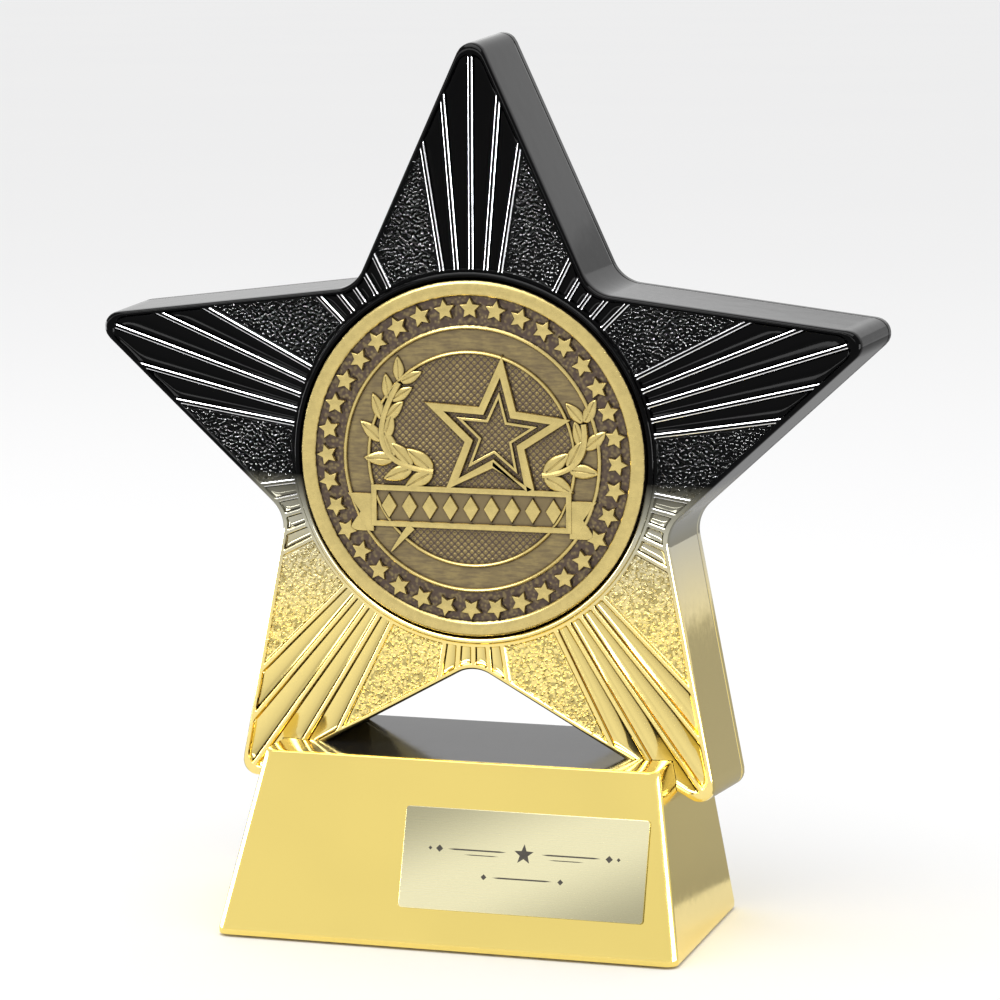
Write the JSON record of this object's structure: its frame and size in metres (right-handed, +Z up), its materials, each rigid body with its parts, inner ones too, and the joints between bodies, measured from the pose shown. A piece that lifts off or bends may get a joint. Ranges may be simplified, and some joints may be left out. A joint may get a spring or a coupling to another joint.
{
  "type": "star trophy",
  "caption": "Free-standing star award: a hollow moulded star with fan ribs and a round relief medal, bolted to a weighted sloping base with an engraving plate.",
  "frame": {"origin": "middle of the footprint, on the surface that the trophy stands on", "axes": "+X to the right seen from the front, +Y to the back, +Z up"},
  "size_m": [0.1342, 0.043, 0.1506],
  "materials": {
    "star_plating": "high-gloss plated plastic, black at the top and fading to mirror gold at the feet",
    "base_plating": "mirror gold, vacuum metallised plastic",
    "medal_metal": "antique gold, with dark patina in the recesses",
    "plate_metal": "satin champagne, anodised",
    "adhesive_foam": "white double-sided foam tape",
    "screw_steel": "zinc plated",
    "insert_brass": "turned",
    "ballast_iron": "dark, as cast and ground",
    "cover_plastic": "fine matt",
    "felt": "black self-adhesive felt"
  },
  "bodies": {
    "root": {"star_front_shell": "star_plating", "star_back_cover": "star_plating", "back_cover_screws": "screw_steel", "medal": "medal_metal", "medal_foam_pad": "adhesive_foam", "base_shell": "base_plating", "base_ballast": "ballast_iron", "ballast_screws": "screw_steel", "base_bottom_cover": "cover_plastic", "bottom_cover_screws": "screw_steel", "felt_pad": "felt", "leg_bolts": "screw_steel", "leg_washers": "screw_steel", "leg_inserts": "insert_brass", "engraving_plate": "plate_metal", "plate_adhesive": "adhesive_foam"}
  },
  "joints": []
}
